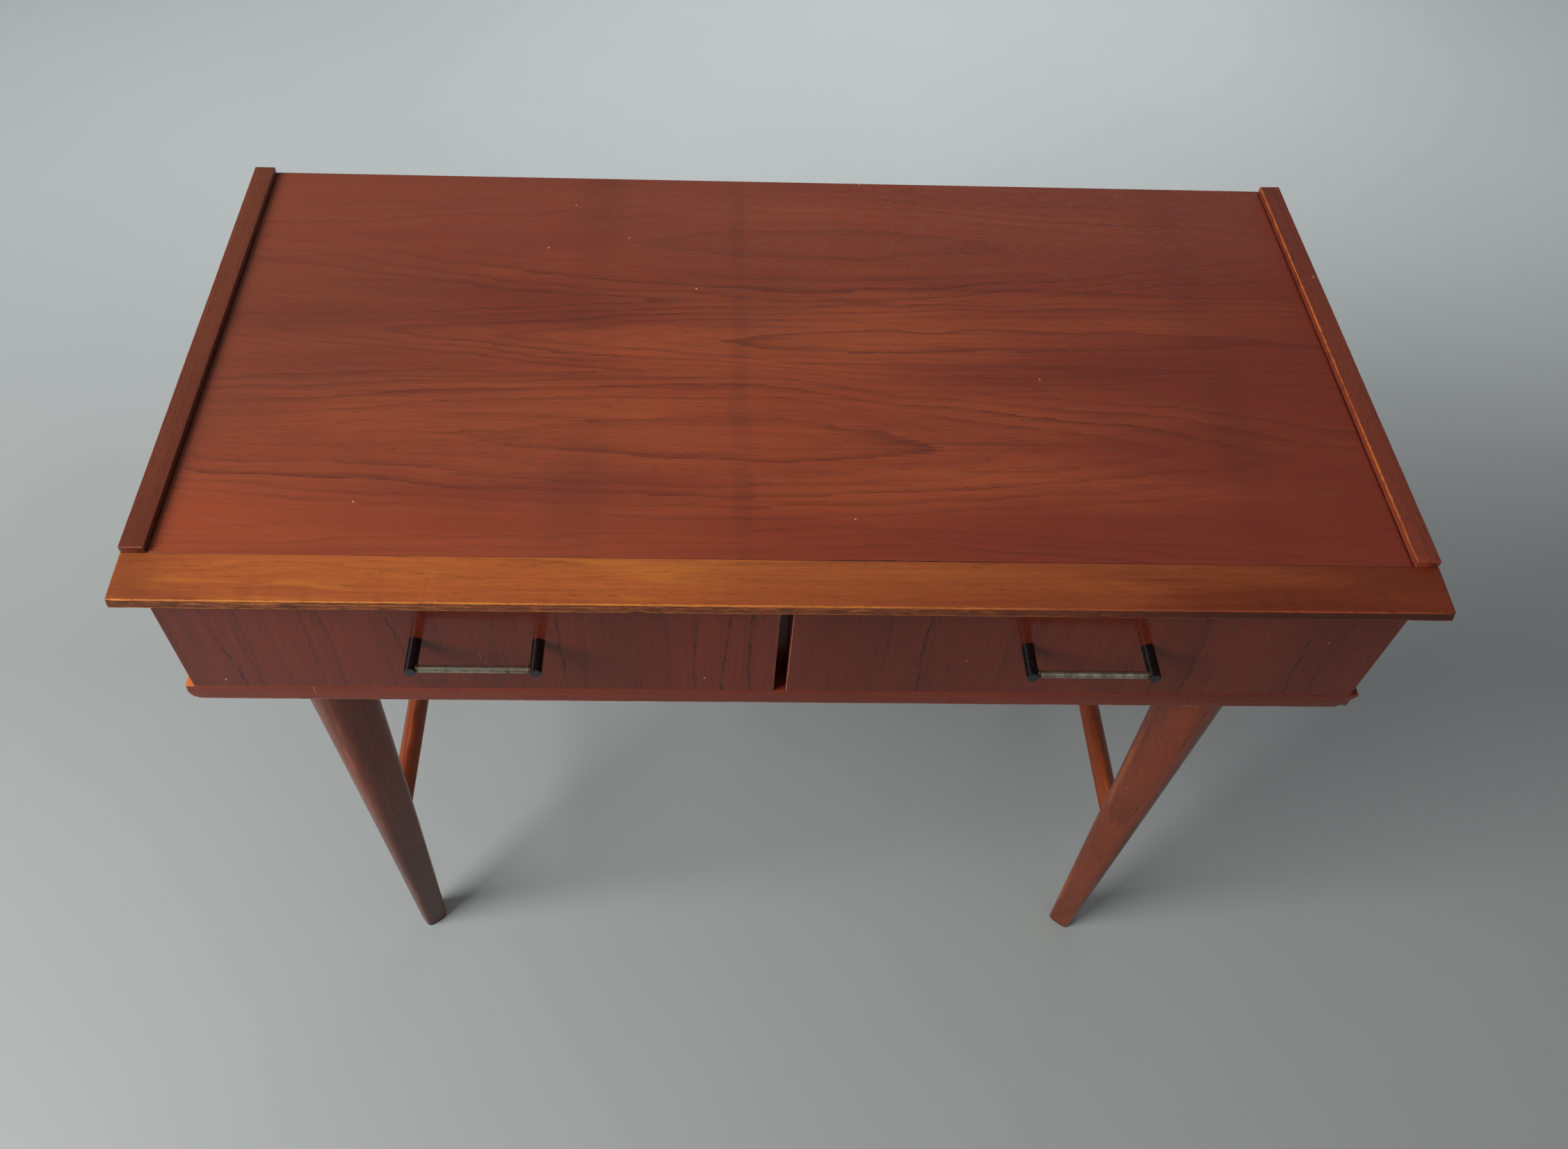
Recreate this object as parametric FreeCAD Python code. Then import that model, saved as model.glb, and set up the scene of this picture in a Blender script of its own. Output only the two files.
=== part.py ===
# Sewing table with two drawers, tapered legs and side stretchers.
# Millimetres. X runs to the right, Y to the back, Z up.
# Origin: on the floor, under the middle of the overall outline.
import FreeCAD
import Part
import math
import os

V = FreeCAD.Vector

# ---- top ----
TOP_WIDTH = 1000.0
TOP_HEIGHT = 750.0
TOP_THICKNESS = 20.0
TOP_FRONT_Y = -250.0
TOP_BACK_Y = 264.0
LIP_DEPTH = 44.0
LIP_EDGE_THICKNESS = 10.0
LIP_UNDERCUT_DEPTH = 16.0
LIP_ARRIS_RADIUS = 1.6
STRIP_WIDTH = 19.3
STRIP_RISE = 6.0
ARRIS = 0.5

# ---- case ----
CASE_HALF_WIDTH = 489.0
CASE_BACK_Y = 256.0
CASE_FRONT_Y = -213.0
BOARD_FRONT_Y = -234.0
BOARD_TOP_Z = 609.0
BOARD_THICKNESS = 19.0
PANEL_THICKNESS = 16.0
DIVIDER_FRONT_Y = -210.0
BACK_PANEL_THICKNESS = 4.0
BACK_PANEL_INSET = 2.0
BACK_PANEL_DROP = 17.0
RAIL_DEPTH = 40.0
RAIL_THICKNESS = 16.0

# ---- drawer runners ----
RUNNER_THICKNESS = 8.0
RUNNER_HEIGHT = 14.0
RUNNER_Z = 665.0
RUNNER_FRONT_Y = -204.0
RUNNER_BACK_Y = 214.0

# ---- drawers ----
FRONT_OUTER_X = 481.0
FRONT_INNER_X = 5.0
FRONT_THICKNESS = 20.0
FRONT_FACE_Y = -234.0
FRONT_BOTTOM_Z = 609.5
FRONT_TOP_Z = 728.0
SIDE_THICKNESS = 14.0
SIDE_CLEARANCE = 1.5
SIDE_BOTTOM_Z = 612.0
SIDE_TOP_Z = 708.0
SIDE_BACK_Y = 216.0
SIDE_HOUSING_DEPTH = 8.0
GROOVE_DEPTH = 7.0
GROOVE_CLEARANCE = 0.3
BOX_BACK_THICKNESS = 12.0
BOX_BACK_TOP_Z = 700.0
PLY_THICKNESS = 4.0
PLY_BOTTOM_Z = 620.0
PLY_GROOVE_DEPTH = 5.0
PLY_PLAY = 0.2

# ---- handles ----
HANDLE_CENTRE_X = 241.0
HANDLE_Z = 678.0
POST_SPACING = 96.0
POST_RADIUS = 5.0
POST_LENGTH = 30.0
POST_CHAMFER = 0.5
ROD_RADIUS = 3.0
ROD_FROM_POST_END = 4.0
ROD_INSERTION = 4.0
ROD_PLAY = 0.05
SCREW_SHANK_RADIUS = 2.0
SCREW_HOLE_RADIUS = 2.1
SCREW_HEAD_RADIUS = 4.0
SCREW_HEAD_HEIGHT = 2.4
SCREW_IN_POST = 11.0

# ---- legs ----
LEG_X = 389.0
LEG_FRONT_Y = -175.0
LEG_BACK_Y = 197.0
LEG_TOP_SIDE = 60.0
LEG_HEAD_LEAN = {"left": 3.5, "right": 0.0}
LEG_FOOT_SIDE = 26.2
LEG_TOP_POWER = 2.6
LEG_FOOT_POWER = 4.6
LEG_TURN_DEG = 38.0
LEG_SECTIONS = 7
LEG_SECTION_POINTS = 32
FOOT_ROUNDING = 1.2
LEG_PLATE_SIDE = 72.0
LEG_PLATE_THICKNESS = 3.0
LEG_PLATE_SCREW_OFFSET = 29.0
BOLT_RADIUS = 4.0
BOLT_HOLE_RADIUS = 4.1
BOLT_IN_LEG = 45.0
BOLT_IN_BOARD = 13.0

# ---- stretchers ----
STRETCHER_Z = 243.0
STRETCHER_HALF_WIDTH = 11.5
STRETCHER_HALF_HEIGHT = 12.5
STRETCHER_POWER = 1.5
TENON_RADIUS = 6.0
TENON_HOLE_RADIUS = 6.05
TENON_END_FROM_AXIS = 3.0

# ---- hidden fixings ----
WOOD_SCREW_RADIUS = 1.75
WOOD_SCREW_HOLE_RADIUS = 1.8
WOOD_SCREW_HEAD_RADIUS = 3.5
WOOD_SCREW_HEAD_HEIGHT = 1.75
RUNNER_SCREW_LENGTH = 14.0
PLATE_SCREW_LENGTH = 16.0
TOP_SCREW_LENGTH = 28.0
DOWEL_RADIUS = 4.0
DOWEL_HOLE_RADIUS = 4.05
DOWEL_LENGTH = 28.0
DOWEL_HOLE_EXTRA = 1.0
PIN_RADIUS = 0.8
PIN_HOLE_RADIUS = 0.85
PIN_HEAD_RADIUS = 1.6
PIN_HEAD_HEIGHT = 0.6
PIN_LENGTH = 18.0

TOP_BOTTOM_Z = TOP_HEIGHT - TOP_THICKNESS
BOARD_BOTTOM_Z = BOARD_TOP_Z - BOARD_THICKNESS
LEG_TOP_Z = BOARD_BOTTOM_Z - LEG_PLATE_THICKNESS
LIP_BACK_Y = TOP_FRONT_Y + LIP_DEPTH
RAIL_BOTTOM_Z = TOP_BOTTOM_Z - RAIL_THICKNESS
SIDE_INNER_X = CASE_HALF_WIDTH - PANEL_THICKNESS
DIVIDER_HALF = PANEL_THICKNESS / 2
UP = V(0, 0, 1)
LEFT, RIGHT = -1, 1
SIDES = {"left": LEFT, "right": RIGHT}


def block(x0, x1, y0, y1, z0, z1):
    """Plain box between two corners given in any order along X."""
    low_x, high_x = min(x0, x1), max(x0, x1)
    return Part.makeBox(high_x - low_x, y1 - y0, z1 - z0, V(low_x, y0, z0))


def eased(x0, x1, y0, y1, z0, z1, radius=ARRIS):
    """Box with every arris lightly rounded."""
    box = block(x0, x1, y0, y1, z0, z1)
    return box.makeFillet(radius, box.Edges)


def rod(radius, start, direction, length):
    """Round bar or hole."""
    return Part.makeCylinder(radius, length, start, direction)


def countersunk_screw(tip_direction, head_centre, length, radius, head_radius, head_height):
    """Countersunk screw: the flat of its head is at head_centre."""
    head = Part.makeCone(head_radius, radius, head_height, head_centre, tip_direction)
    shank = rod(radius, head_centre, tip_direction, length)
    return head.fuse(shank).removeSplitter()


def wood_screw(tip_direction, head_centre, length):
    """Small countersunk wood screw."""
    return countersunk_screw(tip_direction, head_centre, length, WOOD_SCREW_RADIUS,
                             WOOD_SCREW_HEAD_RADIUS, WOOD_SCREW_HEAD_HEIGHT)


def wood_screw_hole(tip_direction, head_centre, length):
    """Hole that clears a wood screw all round."""
    play = WOOD_SCREW_HOLE_RADIUS - WOOD_SCREW_RADIUS
    return countersunk_screw(tip_direction, head_centre, length + play, WOOD_SCREW_HOLE_RADIUS,
                             WOOD_SCREW_HEAD_RADIUS + play, WOOD_SCREW_HEAD_HEIGHT)


def cut_all(shape, tools):
    """Subtract every tool from a shape."""
    for tool in tools:
        shape = shape.cut(tool)
    return shape


def power_section(half_x, half_y, power, turn_deg, centre, normal_y=False):
    """Closed smooth curve between a round and a square, turned about its centre."""
    points = []
    turn = math.radians(turn_deg)
    for index in range(LEG_SECTION_POINTS):
        angle = 2 * math.pi * index / LEG_SECTION_POINTS
        c, s = math.cos(angle), math.sin(angle)
        u = half_x * math.copysign(abs(c) ** (2 / power), c)
        v = half_y * math.copysign(abs(s) ** (2 / power), s)
        across = u * math.cos(turn) - v * math.sin(turn)
        along = u * math.sin(turn) + v * math.cos(turn)
        if normal_y:
            points.append(V(centre.x + across, centre.y, centre.z + along))
        else:
            points.append(V(centre.x + across, centre.y + along, centre.z))
    curve = Part.BSplineCurve()
    curve.interpolate(Points=points, PeriodicFlag=True)
    return Part.Wire(curve.toShape())


def leg_solid(hand, leg_y, lean):
    """Leg that tapers from a soft round head to a squarer foot; lean moves its head outwards."""
    wires = []
    for index in range(LEG_SECTIONS):
        share = index / (LEG_SECTIONS - 1)
        z = LEG_TOP_Z * share
        side = LEG_FOOT_SIDE + (LEG_TOP_SIDE - LEG_FOOT_SIDE) * share
        power = LEG_FOOT_POWER + (LEG_TOP_POWER - LEG_FOOT_POWER) * share
        turn = -hand * LEG_TURN_DEG
        centre = V(hand * (LEG_X + lean * share ** 2), leg_y, z)
        wires.append(power_section(side / 2, side / 2, power, turn, centre))
    return Part.makeLoft(wires, True, False)


parts = {}

# ---- drill list of the hidden fixings that cross several pieces ----
dowels = []
dowel_holes = []


def add_dowel(start, direction):
    """One dowel and the hole that holds it."""
    dowels.append(rod(DOWEL_RADIUS, start, direction, DOWEL_LENGTH))
    hole_start = start - direction * DOWEL_HOLE_EXTRA
    dowel_holes.append(rod(DOWEL_HOLE_RADIUS, hole_start, direction, DOWEL_LENGTH + 2 * DOWEL_HOLE_EXTRA))


DOWEL_UPRIGHT_Z = BOARD_TOP_Z - 12.0
for dowel_y in (-180.0, 20.0, 220.0):
    for x in (-CASE_HALF_WIDTH + DIVIDER_HALF, 0.0, CASE_HALF_WIDTH - DIVIDER_HALF):
        add_dowel(V(x, dowel_y, DOWEL_UPRIGHT_Z), UP)
RAIL_Z = (TOP_BOTTOM_Z + RAIL_BOTTOM_Z) / 2
RAIL_YS = (CASE_FRONT_Y, CASE_BACK_Y - RAIL_DEPTH)
for rail_y in RAIL_YS:
    for hand in (LEFT, RIGHT):
        add_dowel(V(hand * (SIDE_INNER_X + 10.0), rail_y + RAIL_DEPTH / 2, RAIL_Z), V(-hand, 0, 0))

top_screws = []
top_screw_holes = []
for rail_y in RAIL_YS:
    for x in (-380.0, -120.0, 120.0, 380.0):
        head = V(x, rail_y + RAIL_DEPTH / 2, RAIL_BOTTOM_Z)
        top_screws.append(wood_screw(UP, head, TOP_SCREW_LENGTH))
        top_screw_holes.append(wood_screw_hole(UP, head, TOP_SCREW_LENGTH))

# ---- top ----
panel_half = TOP_WIDTH / 2 - STRIP_WIDTH
panel = eased(-panel_half, panel_half, LIP_BACK_Y, TOP_BACK_Y, TOP_BOTTOM_Z, TOP_HEIGHT)
parts["top_panel"] = cut_all(panel, top_screw_holes)

lip_outline = [V(0, TOP_FRONT_Y, TOP_HEIGHT), V(0, TOP_FRONT_Y, TOP_HEIGHT - LIP_EDGE_THICKNESS),
               V(0, TOP_FRONT_Y + LIP_UNDERCUT_DEPTH, TOP_BOTTOM_Z), V(0, LIP_BACK_Y, TOP_BOTTOM_Z),
               V(0, LIP_BACK_Y, TOP_HEIGHT), V(0, TOP_FRONT_Y, TOP_HEIGHT)]
lip = Part.Face(Part.makePolygon(lip_outline)).extrude(V(TOP_WIDTH, 0, 0))
lip.translate(V(-TOP_WIDTH / 2, 0, 0))
front_edges = []
for edge in lip.Edges:
    if edge.BoundBox.YMax < TOP_FRONT_Y + 0.01:
        front_edges.append(edge)
lip = lip.makeFillet(LIP_ARRIS_RADIUS, front_edges)
parts["top_front_lip"] = cut_all(lip, top_screw_holes)

for name, hand in SIDES.items():
    strip = eased(hand * panel_half, hand * TOP_WIDTH / 2, LIP_BACK_Y, TOP_BACK_Y,
                  TOP_BOTTOM_Z, TOP_HEIGHT + STRIP_RISE, 0.8)
    parts["top_edge_strip_" + name] = strip

# ---- leg hardware positions ----
LEG_YS = {"front": LEG_FRONT_Y, "rear": LEG_BACK_Y}
plate_screws = []
plate_screw_holes = []
bolts = []
bolt_holes = []
for hand in (LEFT, RIGHT):
    for leg_y in LEG_YS.values():
        bolt_start = V(hand * LEG_X, leg_y, LEG_TOP_Z - BOLT_IN_LEG)
        bolt_length = BOLT_IN_LEG + LEG_PLATE_THICKNESS + BOLT_IN_BOARD
        bolts.append(rod(BOLT_RADIUS, bolt_start, UP, bolt_length))
        hole_start = bolt_start - UP * DOWEL_HOLE_EXTRA
        bolt_holes.append(rod(BOLT_HOLE_RADIUS, hole_start, UP, bolt_length + 2 * DOWEL_HOLE_EXTRA))
        for dx in (-LEG_PLATE_SCREW_OFFSET, LEG_PLATE_SCREW_OFFSET):
            for dy in (-LEG_PLATE_SCREW_OFFSET, LEG_PLATE_SCREW_OFFSET):
                head = V(hand * LEG_X + dx, leg_y + dy, LEG_TOP_Z)
                plate_screws.append(wood_screw(UP, head, PLATE_SCREW_LENGTH))
                plate_screw_holes.append(wood_screw_hole(UP, head, PLATE_SCREW_LENGTH))

# ---- case ----
board = eased(-CASE_HALF_WIDTH, CASE_HALF_WIDTH, BOARD_FRONT_Y, CASE_BACK_Y,
              BOARD_BOTTOM_Z, BOARD_TOP_Z, 0.8)
parts["case_bottom_board"] = cut_all(board, dowel_holes + plate_screw_holes + bolt_holes)

pins = []
pin_holes = []
PIN_Y = CASE_BACK_Y + BACK_PANEL_THICKNESS + PIN_HEAD_HEIGHT


def add_pin(x, z):
    """Round-headed pin driven through the back panel towards the front."""
    head_centre = V(x, PIN_Y, z)
    toward_front = V(0, -1, 0)
    head = rod(PIN_HEAD_RADIUS, head_centre, toward_front, PIN_HEAD_HEIGHT)
    pins.append(head.fuse(rod(PIN_RADIUS, head_centre, toward_front, PIN_LENGTH)).removeSplitter())
    pin_holes.append(rod(PIN_HOLE_RADIUS, head_centre, toward_front, PIN_LENGTH + DOWEL_HOLE_EXTRA))


for z in (632.0, 670.0, 708.0):
    for x in (-CASE_HALF_WIDTH + DIVIDER_HALF, 0.0, CASE_HALF_WIDTH - DIVIDER_HALF):
        add_pin(x, z)
for x in (-360.0, -240.0, -120.0, 120.0, 240.0, 360.0):
    add_pin(x, BOARD_TOP_Z - BOARD_THICKNESS / 2)
parts["case_bottom_board"] = cut_all(parts["case_bottom_board"], pin_holes)

rails = {"front": RAIL_YS[0], "rear": RAIL_YS[1]}
for name, rail_y in rails.items():
    rail = eased(-SIDE_INNER_X, SIDE_INNER_X, rail_y, rail_y + RAIL_DEPTH, RAIL_BOTTOM_Z, TOP_BOTTOM_Z)
    parts["top_rail_" + name] = cut_all(rail, top_screw_holes + dowel_holes + pin_holes)

# ---- runners and their screws ----
runner_screws = []
runner_screw_holes = []


def add_runner(name, wall_x, direction):
    """Runner strip fixed to a wall; direction points from the wall into the drawer space."""
    strip = eased(wall_x, wall_x + direction * RUNNER_THICKNESS, RUNNER_FRONT_Y, RUNNER_BACK_Y,
                  RUNNER_Z - RUNNER_HEIGHT / 2, RUNNER_Z + RUNNER_HEIGHT / 2)
    into_wall = V(-direction, 0, 0)
    holes = []
    for screw_y in (-180.0, 5.0, 190.0):
        head = V(wall_x + direction * RUNNER_THICKNESS, screw_y, RUNNER_Z)
        runner_screws.append(wood_screw(into_wall, head, RUNNER_SCREW_LENGTH))
        holes.append(wood_screw_hole(into_wall, head, RUNNER_SCREW_LENGTH))
    runner_screw_holes.extend(holes)
    parts[name] = cut_all(strip, holes)


for name, hand in SIDES.items():
    add_runner("runner_" + name + "_outer", hand * SIDE_INNER_X, -hand)
    add_runner("runner_" + name + "_inner", hand * DIVIDER_HALF, hand)

wall_cuts = dowel_holes + pin_holes + runner_screw_holes
for name, hand in SIDES.items():
    wall = eased(hand * SIDE_INNER_X, hand * CASE_HALF_WIDTH, CASE_FRONT_Y, CASE_BACK_Y,
                 BOARD_TOP_Z, TOP_BOTTOM_Z)
    parts["case_side_" + name] = cut_all(wall, wall_cuts)

divider = eased(-DIVIDER_HALF, DIVIDER_HALF, DIVIDER_FRONT_Y, CASE_BACK_Y, BOARD_TOP_Z, TOP_BOTTOM_Z)
for rail_y in RAIL_YS:
    notch = block(-DIVIDER_HALF - 1, DIVIDER_HALF + 1, rail_y - 1, rail_y + RAIL_DEPTH + 0.1,
                  RAIL_BOTTOM_Z, TOP_BOTTOM_Z + 1)
    divider = divider.cut(notch)
parts["case_divider"] = cut_all(divider, wall_cuts)

back = eased(-CASE_HALF_WIDTH + BACK_PANEL_INSET, CASE_HALF_WIDTH - BACK_PANEL_INSET,
             CASE_BACK_Y, CASE_BACK_Y + BACK_PANEL_THICKNESS,
             BOARD_TOP_Z - BACK_PANEL_DROP, TOP_BOTTOM_Z - ARRIS, 0.3)
parts["case_back_panel"] = cut_all(back, pin_holes)

# ---- drawers ----
for name, hand in SIDES.items():
    prefix = "drawer_" + name + "_"
    outer_x = hand * (SIDE_INNER_X - SIDE_CLEARANCE)
    inner_x = hand * (DIVIDER_HALF + SIDE_CLEARANCE)
    side_start_y = FRONT_FACE_Y + FRONT_THICKNESS - SIDE_HOUSING_DEPTH
    ply_top_z = PLY_BOTTOM_Z + PLY_THICKNESS

    ply = block(outer_x - hand * (SIDE_THICKNESS - PLY_GROOVE_DEPTH),
                inner_x + hand * (SIDE_THICKNESS - PLY_GROOVE_DEPTH),
                FRONT_FACE_Y + FRONT_THICKNESS - PLY_GROOVE_DEPTH, SIDE_BACK_Y,
                PLY_BOTTOM_Z, ply_top_z)
    ply_groove = block(outer_x - hand * (SIDE_THICKNESS - PLY_GROOVE_DEPTH - PLY_PLAY),
                       inner_x + hand * (SIDE_THICKNESS - PLY_GROOVE_DEPTH - PLY_PLAY),
                       FRONT_FACE_Y + FRONT_THICKNESS - PLY_GROOVE_DEPTH - PLY_PLAY, SIDE_BACK_Y + 1,
                       PLY_BOTTOM_Z - PLY_PLAY / 2, ply_top_z + PLY_PLAY / 2)
    parts[prefix + "bottom"] = ply

    boards = {}
    for which, face_x, inward in (("outer", outer_x, -hand), ("inner", inner_x, hand)):
        side = block(face_x, face_x + inward * SIDE_THICKNESS, side_start_y, SIDE_BACK_Y,
                     SIDE_BOTTOM_Z, SIDE_TOP_Z)
        long_edges = []
        for edge in side.Edges:
            box = edge.BoundBox
            if box.YLength > 100 and box.ZMin > SIDE_TOP_Z - 1:
                long_edges.append(edge)
        side = side.makeFillet(2.0, long_edges)
        runner_groove = block(face_x, face_x + inward * GROOVE_DEPTH, RUNNER_FRONT_Y - 1, SIDE_BACK_Y + 1,
                              RUNNER_Z - RUNNER_HEIGHT / 2 - GROOVE_CLEARANCE,
                              RUNNER_Z + RUNNER_HEIGHT / 2 + GROOVE_CLEARANCE)
        boards[which] = side.cut(runner_groove).cut(ply_groove)
        parts[prefix + "side_" + which] = boards[which]

    back_board = eased(outer_x - hand * SIDE_THICKNESS, inner_x + hand * SIDE_THICKNESS,
                       SIDE_BACK_Y - BOX_BACK_THICKNESS, SIDE_BACK_Y,
                       ply_top_z + PLY_PLAY, BOX_BACK_TOP_Z)
    parts[prefix + "back"] = back_board

    front = eased(hand * FRONT_INNER_X, hand * FRONT_OUTER_X, FRONT_FACE_Y, FRONT_FACE_Y + FRONT_THICKNESS,
                  FRONT_BOTTOM_Z, FRONT_TOP_Z, 0.8)
    for which, face_x, inward in (("outer", outer_x, -hand), ("inner", inner_x, hand)):
        housing = block(face_x, face_x + inward * SIDE_THICKNESS, side_start_y,
                        FRONT_FACE_Y + FRONT_THICKNESS + 1, SIDE_BOTTOM_Z, SIDE_TOP_Z)
        front = front.cut(housing)
    front = front.cut(ply_groove)

    posts = {}
    screws = []
    rod_y = FRONT_FACE_Y - POST_LENGTH + ROD_FROM_POST_END
    post_left_x = hand * HANDLE_CENTRE_X - POST_SPACING / 2
    post_right_x = hand * HANDLE_CENTRE_X + POST_SPACING / 2
    grip_start = V(post_left_x + POST_RADIUS - ROD_INSERTION, rod_y, HANDLE_Z)
    grip_length = POST_SPACING - 2 * (POST_RADIUS - ROD_INSERTION)
    grip_hole = rod(ROD_RADIUS + ROD_PLAY, grip_start - V(ROD_PLAY, 0, 0), V(1, 0, 0),
                    grip_length + 2 * ROD_PLAY)
    parts[prefix + "handle_rod"] = rod(ROD_RADIUS, grip_start, V(1, 0, 0), grip_length)
    toward_front = V(0, -1, 0)
    for which, post_x in (("left", post_left_x), ("right", post_right_x)):
        post = rod(POST_RADIUS, V(post_x, FRONT_FACE_Y, HANDLE_Z), toward_front, POST_LENGTH)
        rim = []
        for edge in post.Edges:
            if edge.BoundBox.YMax < FRONT_FACE_Y - POST_LENGTH + 0.01:
                rim.append(edge)
        post = post.makeChamfer(POST_CHAMFER, rim)
        head_start = V(post_x, FRONT_FACE_Y + FRONT_THICKNESS + SCREW_HEAD_HEIGHT, HANDLE_Z)
        head = rod(SCREW_HEAD_RADIUS, head_start, toward_front, SCREW_HEAD_HEIGHT)
        shank_length = SCREW_HEAD_HEIGHT + FRONT_THICKNESS + SCREW_IN_POST
        shank = rod(SCREW_SHANK_RADIUS, head_start, toward_front, shank_length)
        screws.append(head.fuse(shank).removeSplitter())
        hole = rod(SCREW_HOLE_RADIUS, head_start, toward_front, shank_length + 0.5)
        front = front.cut(hole)
        parts[prefix + "handle_post_" + which] = post.cut(hole).cut(grip_hole)
    parts[prefix + "front"] = front
    parts[prefix + "handle_screws"] = Part.makeCompound(screws)

# ---- legs, plates and stretchers ----
for name, hand in SIDES.items():
    bar_wires = []
    for y in (LEG_FRONT_Y, LEG_BACK_Y):
        centre = V(hand * LEG_X, y, STRETCHER_Z)
        bar_wires.append(power_section(STRETCHER_HALF_WIDTH, STRETCHER_HALF_HEIGHT,
                                       STRETCHER_POWER, 0, centre, True))
    bar = Part.makeLoft(bar_wires, True, True)
    for place, leg_y in LEG_YS.items():
        leg = leg_solid(hand, leg_y, LEG_HEAD_LEAN[name])
        foot_edges = []
        for edge in leg.Edges:
            if edge.BoundBox.ZMax < 0.1:
                foot_edges.append(edge)
        leg = leg.makeFillet(FOOT_ROUNDING, foot_edges)
        bar = bar.cut(leg)
        toward_middle = V(0, 1, 0) if place == "front" else V(0, -1, 0)
        tenon_start = V(hand * LEG_X, leg_y, STRETCHER_Z) + toward_middle * TENON_END_FROM_AXIS
        tenon = rod(TENON_RADIUS, tenon_start, toward_middle, 40.0)
        mortise = rod(TENON_HOLE_RADIUS, tenon_start - toward_middle * 0.5, toward_middle, 60.0)
        leg = leg.cut(mortise)
        bar = bar.fuse(tenon)
        parts["leg_" + place + "_" + name] = cut_all(leg, bolt_holes)
        plate = eased(hand * LEG_X - LEG_PLATE_SIDE / 2, hand * LEG_X + LEG_PLATE_SIDE / 2,
                      leg_y - LEG_PLATE_SIDE / 2, leg_y + LEG_PLATE_SIDE / 2, LEG_TOP_Z, BOARD_BOTTOM_Z, 0.4)
        parts["leg_plate_" + place + "_" + name] = cut_all(plate, plate_screw_holes + bolt_holes)
    parts["stretcher_" + name] = bar.removeSplitter()

# ---- groups of identical fixings ----
parts["leg_plate_screws"] = Part.makeCompound(plate_screws)
parts["leg_hanger_bolts"] = Part.makeCompound(bolts)
parts["top_fixing_screws"] = Part.makeCompound(top_screws)
parts["runner_screws"] = Part.makeCompound(runner_screws)
parts["case_dowels"] = Part.makeCompound(dowels)
parts["back_panel_pins"] = Part.makeCompound(pins)

os.makedirs("parts", exist_ok=True)
for node, shape in parts.items():
    shape.exportStep(os.path.join("parts", node + ".step"))
print(len(parts), "nodes written")
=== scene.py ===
"""Sewing table: camera, light, floor and the finish of every piece. Metres, same frame as the CAD."""
import math

import bmesh
import bpy
from mathutils import Matrix, Vector, noise


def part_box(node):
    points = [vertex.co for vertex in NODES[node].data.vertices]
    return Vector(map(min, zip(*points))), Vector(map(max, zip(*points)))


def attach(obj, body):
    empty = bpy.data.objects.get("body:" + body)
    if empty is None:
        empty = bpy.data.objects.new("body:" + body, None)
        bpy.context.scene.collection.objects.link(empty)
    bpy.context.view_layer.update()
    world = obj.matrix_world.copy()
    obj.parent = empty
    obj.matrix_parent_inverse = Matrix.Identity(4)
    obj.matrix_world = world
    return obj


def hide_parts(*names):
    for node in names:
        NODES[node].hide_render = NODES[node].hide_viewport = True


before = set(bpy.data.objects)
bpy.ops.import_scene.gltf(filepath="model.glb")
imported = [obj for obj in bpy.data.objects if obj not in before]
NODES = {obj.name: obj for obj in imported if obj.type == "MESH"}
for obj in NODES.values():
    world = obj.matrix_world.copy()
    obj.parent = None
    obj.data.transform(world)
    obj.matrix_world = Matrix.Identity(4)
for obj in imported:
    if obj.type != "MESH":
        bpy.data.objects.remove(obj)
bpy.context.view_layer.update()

# ------------------------------------------------------------------ camera
SENSOR_MM = 36.0
LENS_MM = 29.3907
SHIFT_X, SHIFT_Y = 0.0313082, 0.0023503
PITCH, YAW, ROLL = math.radians(52.676), math.radians(-2.658), math.radians(2.734)
EYE = Vector((-0.0679, -0.8035, 1.5108))


def make_camera():
    """A camera above and in front of the table, looking down."""
    data = bpy.data.cameras.new("view")
    data.sensor_width = SENSOR_MM
    data.lens = LENS_MM
    data.shift_x = SHIFT_X
    data.shift_y = SHIFT_Y
    cam = bpy.data.objects.new("view", data)
    ahead = Vector((-math.sin(YAW) * math.cos(PITCH),
                    math.cos(YAW) * math.cos(PITCH),
                    -math.sin(PITCH)))
    level = Vector((math.cos(YAW), math.sin(YAW), 0.0))
    above = level.cross(ahead)
    right = math.cos(ROLL) * level + math.sin(ROLL) * above
    up = -math.sin(ROLL) * level + math.cos(ROLL) * above
    turn = Matrix((right, up, -ahead)).transposed().to_4x4()
    cam.matrix_world = Matrix.Translation(EYE) @ turn
    bpy.context.scene.collection.objects.link(cam)
    bpy.context.scene.camera = cam


make_camera()

# ------------------------------------------------------------------ node helpers
class Num:
    """A number that varies over a surface; arithmetic on it adds Math nodes."""

    def __init__(self, tree, socket):
        self.tree = tree
        self.socket = socket

    def op(self, kind, *others):
        node = self.tree.add("ShaderNodeMath", operation=kind)
        for socket, value in zip(node.inputs, (self, *others)):
            self.tree.put(socket, value)
        return Num(self.tree, node.outputs[0])

    def __add__(self, other):
        return self.op("ADD", other)

    def __sub__(self, other):
        return self.op("SUBTRACT", other)

    def __mul__(self, other):
        return self.op("MULTIPLY", other)

    def __truediv__(self, other):
        return self.op("DIVIDE", other)

    def __pow__(self, other):
        return self.op("POWER", other)

    def step(self, low, high, to_low=0.0, to_high=1.0):
        """Smooth change from to_low at low to to_high at high."""
        node = self.tree.add("ShaderNodeMapRange", interpolation_type="SMOOTHSTEP", clamp=True)
        for index, item in enumerate((self, low, high, to_low, to_high)):
            self.tree.put(node.inputs[index], item)
        return Num(self.tree, node.outputs[0])


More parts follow.
